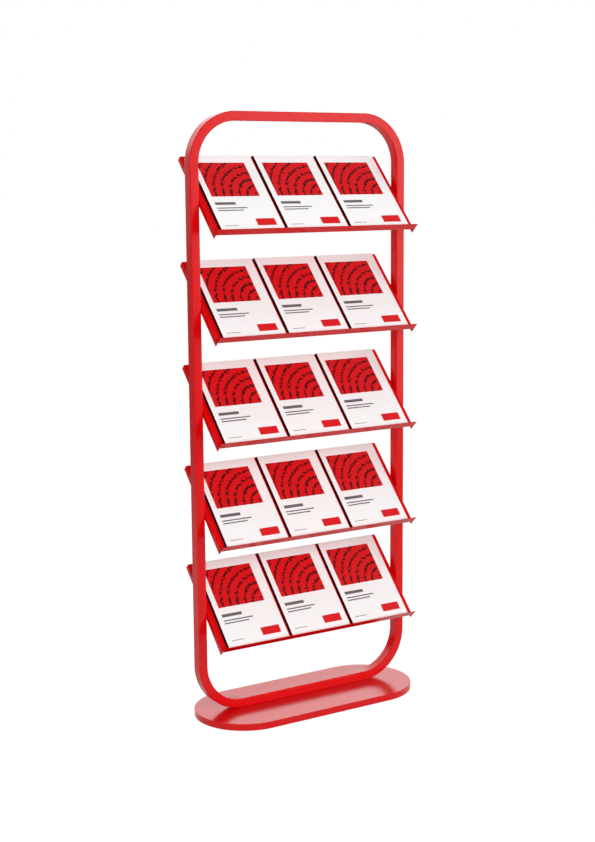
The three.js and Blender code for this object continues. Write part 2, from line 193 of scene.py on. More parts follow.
class BaseSettings(bpy.types.PropertyGroup):
    """Sizes of the base and of what sits under it"""

    skin: length("Skin", "Thickness of the pressed pan", 3)
    edge: length("Edge radius", "Radius along the rims of the pan", 1.5)
    edge_steps: count("Edge steps", "Faces round the rims of the pan, the ribs' folds and the pads", 4)
    end_steps: count("End steps", "Points round both ends of the pan", 144)
    rib_wall: length("Rib wall", "Thickness of the channels under the pan", 2)
    rib_fold: length("Rib fold", "Outside radius of the channels' folds", 3)
    plate_edge: length("Plate edge", "Radius along the clamp plate's edges", 0.6)
    plate_steps: count("Plate steps", "Faces round the clamp plate's edges", 2)
    round_steps: count("Round steps", "Points round a pad and round both ends of the clamp plate", 48)
    pad_edge: length("Pad edge", "Radius round the foot of a pad, and width of its dish's slope", 1)
    pad_tread: length("Pad tread", "Width of the ring that a pad stands on", 3)
    pad_dish: length("Pad dish", "Depth of the hollow under a pad", 0.5)


class TraySettings(bpy.types.PropertyGroup):
    """Sizes of a tray"""

    sheet: length("Sheet", "Thickness of the folded sheet", 1.5)
    fold: length("Fold radius", "Inside radius of a fold", 1)
    fold_steps: count("Fold steps", "Faces round each fold", 5)
    lip_corner: length("Lip corner", "Radius of the lip's upper corners", 3)
    notch: length("Corner notch", "Relief cut where two folds meet", 3)
    top_return: length("Top return", "Depth of the fold along the upper edge", 12)
    seat: length("Seat", "Clearance left under a periodical", 0.3)
    edge_break: length("Edge break", "Rounding that the coat leaves on a cut edge", 0.35)
    break_steps: count("Break steps", "Faces round a cut edge", 2)


class FastenerSettings(bpy.types.PropertyGroup):
    """Sizes of the tray screws and the base bolts"""

    screw_shank: length("Screw shank", "Radius of a tray screw's shank", 2.5)
    screw_head: length("Screw head", "Height of a tray screw's head", 3)
    bolt_shank: length("Bolt shank", "Radius of a base bolt's shank", 4)
    bolt_head: length("Bolt head", "Height of a base bolt's head", 5)
    turns: count("Turns", "Points round a head", 36)
    tip: share("Tip", "Chamfer of the tip, as a share of the shank's radius", 0.2)
    rim: share("Rim", "Straight part of the head, as a share of its height", 0.25)
    dome: FloatProperty(
        name="Dome", description="Arc of the head's dome", default=math.radians(60), subtype="ANGLE"
    )
    dome_steps: count("Dome steps", "Rings of faces on the dome", 5)
    socket: share("Socket", "Radius of the socket, as a share of the head's", 0.36)
    socket_depth: share("Socket depth", "Depth of the socket, as a share of the head's height", 0.5)


class PeriodicalSettings(bpy.types.PropertyGroup):
    """Sizes of a periodical"""

    cover: length("Cover", "Thickness of a cover", 0.6)
    overhang: length("Overhang", "Cover past the pages", 1)
    spine: length("Spine radius", "Radius of the spine's two folds", 1.2)
    spine_steps: count("Spine steps", "Faces round each fold of the spine", 5)
    crease: length("Crease", "Distance of the hinge crease from the spine", 4)
    crease_half: length("Crease half", "Half the width of the hinge crease", 1)
    crease_depth: length("Crease depth", "Depth of the hinge crease", 0.2)
    page_edge: length("Page edge", "Rounding of the pages' free edges", 0.5)
    page_steps: count("Page steps", "Faces round a free edge of the pages", 3)


class ColourSettings(bpy.types.PropertyGroup):
    """Colours of the finishes and the floor"""

    coat: colour("Coat", "Red powder coat", "#DF060C")
    coat_deep: colour("Deep coat", "Powder coat where it lies thicker", "#D80409")
    zinc: colour("Zinc", "Bright zinc plate", "#C6CACE")
    rubber: colour("Rubber", "Black rubber", "#1B1B1C")
    paper: colour("Paper", "Coated white paper", "#FAFAFA")
    page: colour("Page", "Edge of the pages", "#E9E6E1")
    # Near black: partly the spine's own ink, partly painted shade standing in for the dark gaps between
    # periodicals.
    spine: colour("Spine", "Dark band of ink on the spine", "#0A0304")
    ink_red: colour("Red ink", "Main ink of a cover", "#DC0F18")
    ink_dark: colour("Dark ink", "Second ink of a cover", "#2C0506")
    ink_grey: colour("Grey ink", "Lines below the picture", "#6A6668")
    floor: colour("Floor", "Floor, before its glow", "#757575")


class StageSettings(bpy.types.PropertyGroup):
    """The camera, the light and the floor"""

    camera_place: FloatVectorProperty(
        name="Camera place",
        description="Where the camera stands",
        default=(-2418.3 * MM, -3781.6 * MM, 1612.6 * MM),
        subtype="TRANSLATION",
        unit="LENGTH",
    )
    camera_turn: FloatVectorProperty(
        name="Camera turn",
        description="Turn to the right, tilt down and roll of the camera",
        default=(0.56523, 0.16076, -0.00801),
        subtype="EULER",
        unit="ROTATION",
    )
    lens: FloatProperty(name="Lens", description="Focal length", default=64.05, unit="CAMERA")
    ambient: FloatProperty(name="Ambient", description="Light from all round", default=0.67, min=0)
    overhead: share("Overhead", "Share of that light that is left overhead", 0.5)
    ceiling: share("Ceiling", "Brightness of the ceiling in reflections", 0.1)
    screen: share("Screen", "Brightness of the screen on the left in reflections", 0.05)
    floor_size: length("Floor size", "Width of the floor", 60000)
    floor_glow: share("Floor glow", "Glow of the floor, as the camera sees it", 0.93)
    floor_near: share("Near floor", "Share of that glow in reflections, by the rack", 0.8)
    floor_far: share("Far floor", "Share of that glow in reflections, far from the rack", 0.18)
    near_end: length("Near end", "Distance at which the floor starts to darken in reflections", 1300)
    far_start: length("Far start", "Distance past which the floor is darkest in reflections", 5500)
    key_power: power("Key", "Power of the large lamp in front", 109)
    fill_power: power("Fill", "Power of the lamp on the right", 38)
    side_power: power("Side", "Power of the lamp on the left", 46)
    top_power: power("Top", "Power of the lamp overhead", 9)
    back_power: power("Back", "Power of the panel behind, which shows in reflections only", 80)
    rear_power: power("Rear", "Power of the lamp behind", 36)


class RackSettings(bpy.types.PropertyGroup):
    """All settings of the rack"""

    tube: PointerProperty(type=TubeSettings)
    base: PointerProperty(type=BaseSettings)
    tray: PointerProperty(type=TraySettings)
    fastener: PointerProperty(type=FastenerSettings)
    periodical: PointerProperty(type=PeriodicalSettings)
    colours: PointerProperty(type=ColourSettings)
    stage: PointerProperty(type=StageSettings)


# Modelling

def open_new(scale=(1, 1, 1)):
    """Applies the place and size of a primitive that was just added, and opens it in edit mode, selected."""
    piece = bpy.context.object
    piece.scale = scale
    bpy.ops.object.transform_apply(location=True, rotation=True, scale=True)
    bpy.ops.object.mode_set(mode="EDIT")
    bpy.ops.mesh.select_mode(type="FACE")
    bpy.ops.mesh.select_all(action="SELECT")
    return piece


def new_plate(low_x, high_x, low_y, high_y, z):
    """A flat rectangle to start a piece from."""
    bpy.ops.object.select_all(action="DESELECT")
    middle = ((low_x + high_x) / 2, (low_y + high_y) / 2, z)
    bpy.ops.mesh.primitive_plane_add(size=1, location=middle, calc_uvs=False)
    return open_new((high_x - low_x, high_y - low_y, 1))


def new_disc(radius, centre, points, turn=0.0):
    """A flat disc to start a piece from."""
    bpy.ops.object.select_all(action="DESELECT")
    bpy.ops.mesh.primitive_circle_add(
        vertices=points,
        radius=radius,
        fill_type="NGON",
        location=centre,
        rotation=(0, 0, turn),
        calc_uvs=False,
    )
    return open_new()


def at(value, target):
    """Whether two coordinates are the same."""
    return abs(value - target) < NEAR


def choose(kind, test):
    """In edit mode, selects vertices, edges by both ends, or faces by their middle, that pass a test."""
    bpy.ops.mesh.select_mode(type=kind)
    bpy.ops.mesh.select_all(action="DESELECT")
    shape = bmesh.from_edit_mesh(bpy.context.edit_object.data)
    for item in {"VERT": shape.verts, "EDGE": shape.edges, "FACE": shape.faces}[kind]:
        if kind == "FACE":
            points = [item.calc_center_median()]
        else:
            points = [item.co] if kind == "VERT" else [v.co for v in item.verts]
        item.select_set(all(test(p) for p in points))
    shape.select_flush_mode()
    bmesh.update_edit_mesh(bpy.context.edit_object.data)


def choose_rims(low, high):
    """In edit mode, selects the sharp edges that run round at two heights."""
    bpy.ops.mesh.select_mode(type="EDGE")
    bpy.ops.mesh.select_all(action="DESELECT")
    bpy.ops.mesh.edges_select_sharp(sharpness=SHARP_ANGLE)
    shape = bmesh.from_edit_mesh(bpy.context.edit_object.data)
    for edge in shape.edges:
        heights = [v.co.z for v in edge.verts]
        level = all(at(z, low) for z in heights) or all(at(z, high) for z in heights)
        edge.select_set(edge.select and level)
    shape.select_flush_mode()
    bmesh.update_edit_mesh(bpy.context.edit_object.data)


def extrude(x=0.0, y=0.0, z=0.0):
    """In edit mode, draws the selected faces out."""
    bpy.ops.mesh.extrude_region_move(TRANSFORM_OT_translate={"value": (x, y, z)})


def extrude_edge(x=0.0, y=0.0, z=0.0):
    """In edit mode, draws a strip of faces from the selected edges."""
    bpy.ops.mesh.extrude_edges_move(TRANSFORM_OT_translate={"value": (x, y, z)})


def bevel_edges(radius, steps):
    """In edit mode, rounds the selected edges."""
    bpy.ops.mesh.bevel(offset=radius, segments=steps, affect="EDGES")


def bevel_corners(radius, steps):
    """In edit mode, rounds the selected corners of a flat outline."""
    bpy.ops.mesh.bevel(offset=radius, segments=steps, affect="VERTICES")


def close_shape():
    """Merges doubles, turns all faces outwards and leaves edit mode."""
    bpy.ops.mesh.select_all(action="SELECT")
    bpy.ops.mesh.remove_doubles(threshold=NEAR)
    bpy.ops.mesh.normals_make_consistent(inside=False)
    bpy.ops.object.mode_set(mode="OBJECT")


def close_sheet(height):
    """Closes an open sheet so that its largest face at this height looks up."""
    close_shape()
    sheet = bpy.context.object.data
    largest = max(sheet.polygons, key=lambda face: (at(face.center.z, height), face.area))
    if largest.normal.z < 0:
        sheet.flip_normals()


def apply_modifier(kind, **settings):
    """Adds a modifier to the active piece and applies it."""
    piece = bpy.context.object
    modifier = piece.modifiers.new(kind.title(), kind)
    for name, value in settings.items():
        setattr(modifier, name, value)
    bpy.ops.object.modifier_apply(modifier=modifier.name)


def thicken(thickness):
    """Gives an open sheet its thickness, on the side away from where its faces look."""
    apply_modifier("SOLIDIFY", thickness=thickness, offset=-1.0, use_even_offset=True)


def smooth(angle=SMOOTH_ANGLE):
    """Smooth shading that leaves large flat faces flat."""
    bpy.ops.object.shade_smooth_by_angle(angle=angle)
    apply_modifier("WEIGHTED_NORMAL", keep_sharp=True)


def copy_of(piece, move):
    """A copy with its own mesh, moved to its place by a matrix."""
    copy = piece.copy()
    copy.data = piece.data.copy()
    copy.data.transform(move)
    bpy.context.scene.collection.objects.link(copy)
    return copy


def dress(piece, node, part, slot, *surfaces, body=RACK):
    """Names a finished piece, gives it its materials and lets it stand for its CAD node."""
    piece.name = f"{node}_{part}"
    piece.data.name = piece.name
    for surface in surfaces:
        piece.data.materials.append(finish(surface))
    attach(piece, body)
    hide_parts(node)


# Materials

finishes = {}  # the materials of the rack, by the functions that make their shaders


def add(tree, kind, settings=None, links=None):
    """Adds a shader node, sets its properties and inputs, and links sockets into its inputs."""
    node = tree.nodes.new(kind)
    for name, value in (settings or {}).items():
        if isinstance(name, str) and name.islower():
            setattr(node, name, value)
        else:
            node.inputs[name].default_value = value
    for name, socket in (links or {}).items():
        tree.links.new(socket, node.inputs[name])
    return node


def new_material(surface, *settings):
    """A material that is named for the function that makes its surface shader."""
    material = bpy.data.materials.new(surface.__name__)
    material.use_nodes = True
    tree = material.node_tree
    tree.nodes.clear()
    shader = surface(tree, *settings)
    add(tree, "ShaderNodeOutputMaterial", {}, {"Surface": shader.outputs["BSDF"]})
    return material


def finish(surface):
    """The material of a surface of the rack, made once."""
    if surface not in finishes:
        finishes[surface] = new_material(surface, bpy.context.scene.rack.colours)
    return finishes[surface]


def per(millimetres):
    """The texture scale at which one feature measures this many millimetres."""
    return 1 / (millimetres * MM)


def patches(tree, place, millimetres, detail, low, high):
    """A value that changes between two limits in patches of about this size."""
    texture = {"Scale": per(millimetres), "Detail": detail}
    noise = add(tree, "ShaderNodeTexNoise", texture, {"Vector": place})
    limits = {"To Min": low, "To Max": high}
    value = add(tree, "ShaderNodeMapRange", limits, {"Value": noise.outputs["Fac"]})
    return value.outputs["Result"]


def fine_grain(tree, place, millimetres, detail, strength):
    """The normal of a surface with low bumps of about this size."""
    texture = {"Scale": per(millimetres), "Detail": detail}
    noise = add(tree, "ShaderNodeTexNoise", texture, {"Vector": place})
    relief = {"Strength": strength, "Distance": GRAIN_DEPTH}
    bump = add(tree, "ShaderNodeBump", relief, {"Height": noise.outputs["Fac"]})
    return bump.outputs["Normal"]


def red_powder_coat(tree, colours):
    """Powder-coated steel, sprayed and baked: an even semi-gloss red with a faint orange peel."""
    place = add(tree, "ShaderNodeTexCoord").outputs["Object"]
    cloud = add(tree, "ShaderNodeTexNoise", {"Scale": per(90), "Detail": 2.0}, {"Vector": place})
    tone = add(
        tree,
        "ShaderNodeMix",
        {"data_type": "RGBA", 6: colours.coat_deep, 7: colours.coat},
        {0: cloud.outputs["Fac"]},
    )
    # Orange peel is a millimetre or two across; it is drawn at five so that it shows at all.
    return add(
        tree,
        "ShaderNodeBsdfPrincipled",
        {"IOR": 1.36},
        {
            "Base Color": tone.outputs[2],
            "Roughness": patches(tree, place, 35, 3.0, 0.17, 0.23),
            "Normal": fine_grain(tree, place, 5, 1.0, 0.05),
        },
    )


def bright_zinc_plate(tree, colours):
    """Zinc-plated steel, barrel plated: pale grey metal, a little cloudy."""
    place = add(tree, "ShaderNodeTexCoord").outputs["Object"]
    return add(
        tree,
        "ShaderNodeBsdfPrincipled",
        {"Base Color": colours.zinc, "Metallic": 1.0},
        {"Roughness": patches(tree, place, 3, 4.0, 0.28, 0.45)},
    )


def moulded_black_rubber(tree, colours):
    """Moulded black rubber: matt, with a fine sandy grain from the mould."""
    place = add(tree, "ShaderNodeTexCoord").outputs["Object"]
    return add(
        tree,
        "ShaderNodeBsdfPrincipled",
        {"Base Color": colours.rubber, "IOR": 1.52},
        {
            "Roughness": patches(tree, place, 0.8, 3.0, 0.75, 0.9),
            "Normal": fine_grain(tree, place, 0.8, 3.0, 0.3),
        },
    )


def trimmed_pages(tree, colours):
    """Trimmed paper: a stack of thin sheets whose edges show as fine lines across the thickness."""
    place = add(tree, "ShaderNodeTexCoord").outputs["Object"]
    # Sheets are a tenth of a millimetre thick; they are drawn five times as thick so that they show.
    across = add(
        tree,
        "ShaderNodeMapping",
        {"Rotation": (-SLOPE, 0, 0), "Scale": (per(60), per(60), per(0.5))},
        {"Vector": place},
    )
    sheets = add(
        tree, "ShaderNodeTexNoise", {"Scale": 1.0, "Detail": 2.0}, {"Vector": across.outputs["Vector"]}
    )
    shade = add(
        tree, "ShaderNodeMapRange", {"To Min": 0.72, "To Max": 1.0}, {"Value": sheets.outputs["Fac"]}
    )
    tone = add(
        tree,
        "ShaderNodeMix",
        {"data_type": "RGBA", "blend_type": "MULTIPLY", 0: 1.0, 6: colours.page},
        {7: shade.outputs["Result"]},
    )
    return add(
        tree, "ShaderNodeBsdfPrincipled", {"Roughness": 0.8, "IOR": 1.45}, {"Base Color": tone.outputs[2]}
    )


def matt_spine_ink(tree, colours):
    """Ink laid solid over the spine as far as the crease: near black and matt, with a little rubbing. Its black is
    partly the spine's own ink and partly painted shade for the gaps between periodicals.
    """
    place = add(tree, "ShaderNodeTexCoord").outputs["Object"]
    return add(
        tree,
        "ShaderNodeBsdfPrincipled",
        {"Base Color": colours.spine, "IOR": 1.2},
        {"Roughness": patches(tree, place, 12, 4.0, 0.4, 0.55)},
    )


def printed_box(tree, place, left, bottom, right, top):
    """A mask that is one inside a box of the cover, in millimetres from its lower left corner."""
    centre = ((left + right) / 2, (bottom + top) / 2, 0)
    half = ((right - left) / 2, (top - bottom) / 2, 1)
    offset = add(tree, "ShaderNodeVectorMath", {"operation": "SUBTRACT", 1: centre}, {0: place})
    size = add(tree, "ShaderNodeVectorMath", {"operation": "ABSOLUTE"}, {0: offset.outputs["Vector"]})
    past = add(
        tree, "ShaderNodeVectorMath", {"operation": "SUBTRACT", 1: half}, {0: size.outputs["Vector"]}
    )
    axes = add(tree, "ShaderNodeSeparateXYZ", {}, {"Vector": past.outputs["Vector"]})
    most = add(
        tree, "ShaderNodeMath", {"operation": "MAXIMUM"}, {0: axes.outputs["X"], 1: axes.outputs["Y"]}
    )
    inside = add(tree, "ShaderNodeMath", {"operation": "LESS_THAN", 1: 0.0}, {0: most.outputs["Value"]})
    return inside.outputs["Value"]


def printed_arcs(tree, place, colours):
    """The colour of the picture: arcs round its lower right corner, broken by a coarse stipple."""
    corner = (PICTURE[2], PICTURE[1], 0)
    offset = add(tree, "ShaderNodeVectorMath", {"operation": "SUBTRACT", 1: corner}, {0: place})
    far = add(tree, "ShaderNodeVectorMath", {"operation": "LENGTH"}, {0: offset.outputs["Vector"]})
    arc = add(
        tree, "ShaderNodeMath", {"operation": "PINGPONG", 1: ARC_WIDTH}, {0: far.outputs["Value"]}
    )
    speckle = add(
        tree,
        "ShaderNodeTexNoise",
        {"Scale": STIPPLE_SCALE, "Detail": 5.0, "Roughness": 0.65},
        {"Vector": place},
    )
    shift = add(
        tree,
        "ShaderNodeMapRange",
        {"From Min": 0.35, "From Max": 0.65, "To Min": -STIPPLE_REACH, "To Max": STIPPLE_REACH},
        {"Value": speckle.outputs["Fac"]},
    )
    mixed = add(
        tree, "ShaderNodeMath", {"operation": "ADD"}, {0: arc.outputs["Value"], 1: shift.outputs["Result"]}
    )
    dark = add(
        tree,
        "ShaderNodeMapRange",
        {"From Min": DARK_START, "From Max": DARK_FULL},
        {"Value": mixed.outputs["Value"]},
    )
    return add(
        tree,
        "ShaderNodeMix",
        {"data_type": "RGBA", 6: colours.ink_red, 7: colours.ink_dark},
        {0: dark.outputs["Result"]},
    ).outputs[2]


def printed_cover(tree, colours):
    """Coated paper, offset printed and laminated: white, with a red picture of arcs and a few grey lines."""
    low, high = slope_box(PERIODICALS[0])
    uv = add(tree, "ShaderNodeUVMap", {"uv_map": "print"})
    place = add(
        tree,
        "ShaderNodeVectorMath",
        {"operation": "MULTIPLY", 1: ((high.x - low.x) / MM, (high.y - low.y) / MM, 1)},
        {0: uv.outputs["UV"]},
    ).outputs["Vector"]
    picture = printed_arcs(tree, place, colours)
    sheet = add(
        tree,
        "ShaderNodeMix",
        {"data_type": "RGBA", 6: colours.paper},
        {0: printed_box(tree, place, *PICTURE), 7: picture},
    ).outputs[2]
    for box, ink in (
        (HEADING, colours.ink_grey),
        (FIRST_LINE, colours.ink_grey),
        (SECOND_LINE, colours.ink_grey),
        (BLOCK, colours.ink_red),
        (FOOT_LINE, colours.ink_grey),
    ):
        sheet = add(
            tree,
            "ShaderNodeMix",
            {"data_type": "RGBA", 7: ink},
            {0: printed_box(tree, place, *box), 6: sheet},
        ).outputs[2]
    return add(
        tree, "ShaderNodeBsdfPrincipled", {"Roughness": 0.42, "IOR": 1.45}, {"Base Color": sheet}
    )


# Tube loop

def tube_end(low, high, tube):
    """The cut end of an upright tube between two corners: a flat ring of faces, selected in edit mode."""
    piece = new_plate(low.x, high.x, low.y, high.y, low.z)
    bevel_corners(tube.edge, tube.edge_steps)
    bpy.ops.mesh.select_all(action="SELECT")
    bpy.ops.mesh.inset(thickness=tube.wall)
    bpy.ops.mesh.delete(type="FACE")
    bpy.ops.mesh.select_all(action="SELECT")
    return piece


def make_post(node, tube):
    """A straight length of tube."""
    low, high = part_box(node)
    piece = tube_end(low, high, tube)
    extrude(z=high.z - low.z)
    close_shape()
    smooth()
    dress(piece, node, "tube", "red_coat", red_powder_coat)


def make_top_bow(node, tube):
    """One leg, a bend, the rail, a bend and the other leg, drawn from the cut end of the left leg."""
    low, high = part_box(node)
    leg_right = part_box("left_post")[1].x
    middle_y = (low.y + high.y) / 2
    bend_x = high.x - tube.bend
    bend_z = high.z - tube.bend
    piece = tube_end(low, Vector((leg_right, high.y, low.z)), tube)
    extrude(z=bend_z - low.z)
    # Spin turns against the right-hand rule, so this bends over to the right.
    turn = {"steps": tube.bend_steps, "angle": math.pi / 2, "axis": (0, -1, 0)}
    bpy.ops.mesh.spin(center=(-bend_x, middle_y, bend_z), **turn)
    extrude(x=2 * bend_x)
    bpy.ops.mesh.spin(center=(bend_x, middle_y, bend_z), **turn)
    extrude(z=low.z - bend_z)
    close_shape()
    smooth()
    return piece


class RACK_OT_tube_loop(bpy.types.Operator):
    """Make the loop of rectangular tube: two posts and two bows that meet end to end"""

    bl_idname = "rack.tube_loop"
    bl_label = "Tube loop"

    def execute(self, context):
        tube = context.scene.rack.tube
        for node in ("left_post", "right_post"):
            make_post(node, tube)
        top = make_top_bow("top_bow", tube)
        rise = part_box("bottom_bow")[0].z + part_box("top_bow")[1].z
        bottom = copy_of(top, Matrix.Translation((0, 0, rise)) @ Matrix.Rotation(math.pi, 4, "Y"))
        dress(top, "top_bow", "tube", "red_coat", red_powder_coat)
        dress(bottom, "bottom_bow", "tube", "red_coat", red_powder_coat)
        return {"FINISHED"}


# Base

def stadium(low, high, points):
    """A flat plate with round ends, at the lower corner's height, open in edit mode and selected."""
    radius = (high.y - low.y) / 2
    middle = (low + high) / 2
    piece = new_disc(radius, (middle.x, middle.y, low.z), points, math.pi / points)
    stretch = (high.x - low.x) / 2 - radius
    for side in (-1, 1):
        choose("VERT", lambda p: (p.x - middle.x) * side > 0)
        bpy.ops.transform.translate(value=(side * stretch, 0, 0))
    bpy.ops.mesh.select_mode(type="FACE")
    bpy.ops.mesh.select_all(action="SELECT")
    return piece


def make_base_pan(node, base):
    """A pressed pan with round ends, hollow below."""
    low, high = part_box(node)
    piece = stadium(low, high, base.end_steps)
    extrude(z=high.z - low.z)
    choose("FACE", lambda p: at(p.z, low.z))
    bpy.ops.mesh.inset(thickness=base.skin)
    extrude(z=high.z - low.z - base.skin)
    choose_rims(low.z, high.z)
    bevel_edges(base.edge, base.edge_steps)
    close_shape()
    smooth()
    dress(piece, node, "shell", "red_coat", red_powder_coat)


class RACK_OT_base(bpy.types.Operator):
    """Make the base: a pressed pan with round ends and a hollow underside"""

    bl_idname = "rack.base"
    bl_label = "Base pan"

    def execute(self, context):
        make_base_pan("base_pan", context.scene.rack.base)
        return {"FINISHED"}


def make_rib(node, base):
    """A channel folded from a strip, with its legs up."""
    low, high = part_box(node)
    piece = new_plate(low.x, high.x, low.y, high.y, low.z)
    for x in (low.x, high.x):
        choose("EDGE", lambda p: at(p.x, x) and at(p.z, low.z))
        extrude_edge(z=high.z - low.z)
    choose("EDGE", lambda p: at(p.z, low.z) and (at(p.x, low.x) or at(p.x, high.x)))
    bevel_edges(base.rib_fold, base.edge_steps)
    close_shape()
    thicken(base.rib_wall)
    smooth()
    dress(piece, node, "channel", "red_coat", red_powder_coat)


def make_clamp_plate(node, base):
    """A flat bar with round ends and softened edges."""
    low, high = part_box(node)
    piece = stadium(low, high, base.round_steps)
    extrude(z=high.z - low.z)
    choose_rims(low.z, high.z)
    bevel_edges(base.plate_edge, base.plate_steps)
    close_shape()
    smooth()
    dress(piece, node, "bar", "zinc_steel", bright_zinc_plate)


def make_pad(node, base):
    """A moulded foot: a disc with a rounded tread and a shallow dish under it."""
    low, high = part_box(node)
    middle = (low + high) / 2
    piece = new_disc((high.x - low.x) / 2, (middle.x, middle.y, low.z), base.round_steps)
    extrude(z=high.z - low.z)
    choose_rims(low.z, low.z)
    bevel_edges(base.pad_edge, base.edge_steps)
    choose("FACE", lambda p: at(p.z, low.z))
    bpy.ops.mesh.inset(thickness=base.pad_tread)
    bpy.ops.mesh.inset(thickness=base.pad_edge, depth=-base.pad_dish)
    close_shape()
    smooth()
    dress(piece, node, "foot", "black_rubber", moulded_black_rubber)


class RACK_OT_underside(bpy.types.Operator):
    """Make what sits under the base: two ribs, the clamp plate and four pads"""

    bl_idname = "rack.underside"
    bl_label = "Ribs, clamp plate and pads"

    def execute(self, context):
        base = context.scene.rack.base
        for node in RIBS:
            make_rib(node, base)
        make_clamp_plate("clamp_plate", base)
        for node in PADS:
            make_pad(node, base)
        return {"FINISHED"}


# Trays

def make_tray(node, tray):
    """One sheet: its upper face is notched, folded up at the lip and down at the ends, then thickened."""
    low, high = slope_box(node)
    face = slope_box(PERIODICALS[0])[0].z - tray.seat
    lip_back = low.y + tray.sheet
    left, right = low.x + tray.notch, high.x - tray.notch
    front, back = lip_back + tray.notch, high.y - tray.notch
    piece = new_plate(low.x, high.x, lip_back, high.y, face)
    for x in (left, right):
        bpy.ops.mesh.select_all(action="SELECT")
        bpy.ops.mesh.bisect(plane_co=(x, 0, 0), plane_no=(1, 0, 0))
    for y in (front, back):
        bpy.ops.mesh.select_all(action="SELECT")
        bpy.ops.mesh.bisect(plane_co=(0, y, 0), plane_no=(0, 1, 0))
    choose("FACE", lambda p: not left < p.x < right and not front < p.y < back)
    bpy.ops.mesh.delete(type="FACE")

    # The returns go down from the ends and the upper edge, and the lip goes up from the lower edge.
    for x in (low.x, high.x):
        choose("EDGE", lambda p: at(p.x, x))
        extrude_edge(z=low.z - face)
    choose("EDGE", lambda p: at(p.y, high.y))
    extrude_edge(z=-tray.top_return)
    choose("EDGE", lambda p: at(p.y, lip_back))
    lip_foot = face + 2 * tray.fold
    extrude_edge(z=lip_foot - face)
    extrude_edge(z=high.z - lip_foot)
    for x, outward in ((left, -tray.notch), (right, tray.notch)):
        choose("EDGE", lambda p: at(p.y, lip_back) and at(p.x, x) and p.z > lip_foot - NEAR)
        extrude_edge(x=outward)

    # The folds are rounded. The lip folds towards the face and the returns fold away from it.
    outer_fold = tray.fold + tray.sheet
    choose("EDGE", lambda p: at(p.y, lip_back) and at(p.z, face))
    bevel_edges(tray.fold, tray.fold_steps)
    for x in (low.x, high.x):
        choose("EDGE", lambda p: at(p.x, x) and at(p.z, face))
        bevel_edges(outer_fold, tray.fold_steps)
    choose("EDGE", lambda p: at(p.y, high.y) and at(p.z, face))
    bevel_edges(outer_fold, tray.fold_steps)
    choose("VERT", lambda p: at(p.z, high.z) and (at(p.x, low.x) or at(p.x, high.x)))
    bevel_corners(tray.lip_corner, tray.fold_steps)

    # Each return runs on to the front of the lip, and the end of the lip comes down to meet it.
    return_top = face - outer_fold
    for x in (low.x, high.x):
        choose("EDGE", lambda p: at(p.x, x) and at(p.y, front) and p.z < return_top + NEAR)
        extrude_edge(y=low.y - front)
        choose("EDGE", lambda p: at(p.x, x) and p.y < front + NEAR and at(p.z, return_top))
        extrude_edge(z=face - return_top)
        choose(
            "EDGE",
            lambda p: at(p.y, lip_back) and at(p.z, lip_foot) and abs(p.x - x) < tray.notch + NEAR,
        )
        extrude_edge(z=face - lip_foot)

    close_sheet(face)
    thicken(tray.sheet)
    apply_modifier("BEVEL", width=tray.edge_break, segments=tray.break_steps, angle_limit=SHARP_ANGLE)
    smooth()
    return piece


class RACK_OT_trays(bpy.types.Operator):
    """Make the five trays, each folded from one sheet"""

    bl_idname = "rack.trays"
    bl_label = "Trays"

    def execute(self, context):
        pattern = make_tray(TRAYS[0], context.scene.rack.tray)
        start = slope_box(TRAYS[0])[0]
        for node in TRAYS:
            shift = slope_box(node)[0] - start
            piece = copy_of(pattern, FROM_SLOPE @ Matrix.Translation(shift))
            dress(piece, node, "sheet", "red_coat", red_powder_coat)
        bpy.data.objects.remove(pattern)
        return {"FINISHED"}


# Fasteners

def spread(factor):
    """In edit mode, draws out a flat selection round the Z axis."""
    bpy.ops.transform.resize(value=(factor, factor, 1), center_override=(0, 0, 0))


def make_fastener(head_radius, head_height, shank_radius, whole_length, sizes):
    """A button head with a hexagon socket, on the Z axis, the top of its head at height zero."""
    tip = sizes.tip * shank_radius
    piece = new_disc(shank_radius - tip, (0, 0, -whole_length), sizes.turns)
    extrude(z=tip)
    spread(shank_radius / (shank_radius - tip))
    extrude(z=whole_length - head_height - tip)
    extrude()
    spread(head_radius / shank_radius)
    rim = sizes.rim * head_height
    extrude(z=rim)
    width, height = 1.0, 0.0
    for step in range(1, sizes.dome_steps + 1):
        angle = sizes.dome * step / sizes.dome_steps
        next_width = math.cos(angle)
        next_height = math.sin(angle) / math.sin(sizes.dome)
        extrude(z=(next_height - height) * (head_height - rim))
        spread(next_width / width)
        width, height = next_width, next_height
    close_shape()
    bpy.ops.object.select_all(action="DESELECT")
    bpy.ops.mesh.primitive_cylinder_add(
        vertices=6,
        radius=sizes.socket * head_radius,
        depth=2 * sizes.socket_depth * head_height,
        location=(0, 0, 0),
    )
    socket = bpy.context.object
    bpy.context.view_layer.objects.active = piece
    apply_modifier("BOOLEAN", operation="DIFFERENCE", solver="EXACT", object=socket)
    bpy.data.objects.remove(socket)
    piece.select_set(True)
    smooth(CRISP_ANGLE)
    return piece


class RACK_OT_screws(bpy.types.Operator):
    """Make the screws that hold the ends of the trays to the posts"""

    bl_idname = "rack.screws"
    bl_label = "Tray screws"

    def execute(self, context):
        sizes = context.scene.rack.fastener
        low, high = slope_box(SCREWS[0])
        pattern = make_fastener(
            (high.z - low.z) / 2, sizes.screw_head, sizes.screw_shank, high.x - low.x, sizes
        )
        for node in SCREWS:
            low, high = slope_box(node)
            inward = 1 if "left" in node else -1
            place = (low + high) / 2
            place.x = high.x if inward > 0 else low.x
            turn = Matrix.Rotation(inward * math.pi / 2, 4, "Y")
            piece = copy_of(pattern, FROM_SLOPE @ Matrix.Translation(place) @ turn)
            dress(piece, node, "button_head", "zinc_steel", bright_zinc_plate)
        bpy.data.objects.remove(pattern)
        return {"FINISHED"}


